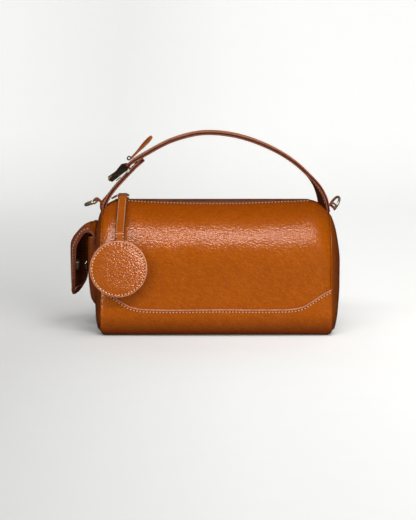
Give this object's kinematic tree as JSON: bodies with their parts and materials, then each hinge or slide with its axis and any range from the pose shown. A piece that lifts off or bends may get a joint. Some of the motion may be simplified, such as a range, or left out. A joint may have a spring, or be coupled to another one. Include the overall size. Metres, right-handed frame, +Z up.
{
  "type": "pillow handbag",
  "caption": "Zipped barrel handbag in tan leather with a buckled top handle, side rings, a round tag and a flapped side pocket.",
  "frame": {"origin": "centre of the flat base the bag stands on", "axes": "+X along the bag's length, -Y towards its front with the round tag, +Z up"},
  "size_m": [0.2675, 0.1295, 0.1949],
  "materials": {
    "tan_leather": "pebbled, semi-gloss",
    "edge_leather": "painted edge",
    "lining_fabric": "twill",
    "board": "matte",
    "zip_tape": "woven",
    "zip_brass": "polished",
    "pale_gold": "polished"
  },
  "bodies": {
    "bag": {"base_panel": "tan_leather", "front_panel": "tan_leather", "back_panel": "tan_leather", "left_welt": "edge_leather", "right_welt": "edge_leather", "left_gusset": "tan_leather", "right_gusset": "tan_leather", "base_board": "board", "lining": "lining_fabric", "slip_pocket": "lining_fabric", "front_zip_tape": "zip_tape", "back_zip_tape": "zip_tape", "front_zip_teeth": "zip_brass", "back_zip_teeth": "zip_brass", "zip_stops": "zip_brass", "left_zip_end": "tan_leather", "right_zip_end": "tan_leather", "left_handle_root": "tan_leather", "right_handle_root": "tan_leather", "left_ring_tab": "tan_leather", "right_ring_tab": "tan_leather", "side_pocket": "tan_leather", "flap_root": "tan_leather", "snap_stud": "pale_gold"},
    "slider": {"zip_slider": "zip_brass"},
    "pull": {"pull_ring": "pale_gold"},
    "tag": {"tag_strap": "tan_leather", "tag_front_disc": "tan_leather", "tag_back_disc": "tan_leather", "tag_stiffener": "board"},
    "handle": {"handle_outer_layer": "tan_leather", "handle_inner_layer": "tan_leather", "anchor_outer_layer": "tan_leather", "anchor_inner_layer": "tan_leather", "buckle_fold": "tan_leather", "strap_tongue": "tan_leather", "tongue_ring": "pale_gold", "strap_stud": "pale_gold", "anchor_eyelet": "pale_gold"},
    "buckle": {"buckle_frame": "pale_gold", "buckle_bar": "pale_gold"},
    "prong": {"buckle_prong": "pale_gold"},
    "left_ring": {"left_d_ring": "pale_gold"},
    "right_ring": {"right_d_ring": "pale_gold"},
    "flap": {"pocket_flap": "tan_leather", "flap_lining": "tan_leather", "snap_socket": "pale_gold"}
  },
  "joints": [
    {"name": "zip_slide", "type": "slide", "parent": "bag", "child": "slider", "axis": [1, 0, 0], "range_m": [0, 0.176]},
    {"name": "ring_swing", "type": "hinge", "parent": "slider", "child": "pull", "pos_m": [-0.092, 0, 0.12995], "axis": [-1, 0, 0], "range_deg": [0, 10]},
    {"name": "tag_swing", "type": "hinge", "parent": "pull", "child": "tag", "pos_m": [-0.092, -0.0086, 0.13135], "axis": [-1, 0, 0], "range_deg": [0, 22]},
    {"name": "handle_swing", "type": "hinge", "parent": "bag", "child": "handle", "pos_m": [0, 0, 0.133], "axis": [1, 0, 0], "range_deg": [-30, 30]},
    {"name": "buckle_swing", "type": "hinge", "parent": "handle", "child": "buckle", "pos_m": [-0.08938, 0, 0.15858], "axis": [0, 1, 0], "range_deg": [0, 45]},
    {"name": "prong_lift", "type": "hinge", "parent": "buckle", "child": "prong", "pos_m": [-0.08938, 0, 0.15858], "axis": [0, 1, 0], "range_deg": [0, 22]},
    {"name": "left_ring_swing", "type": "hinge", "parent": "bag", "child": "left_ring", "pos_m": [-0.119, 0, 0.1253], "axis": [0, 1, 0], "range_deg": [-62, 105]},
    {"name": "right_ring_swing", "type": "hinge", "parent": "bag", "child": "right_ring", "pos_m": [0.1159, 0, 0.1198], "axis": [0, 1, 0], "range_deg": [-45, 115]},
    {"name": "flap_open", "type": "hinge", "parent": "bag", "child": "flap", "pos_m": [-0.1231, 0, 0.1015], "axis": [0, 1, 0], "range_deg": [-7, 70]}
  ]
}
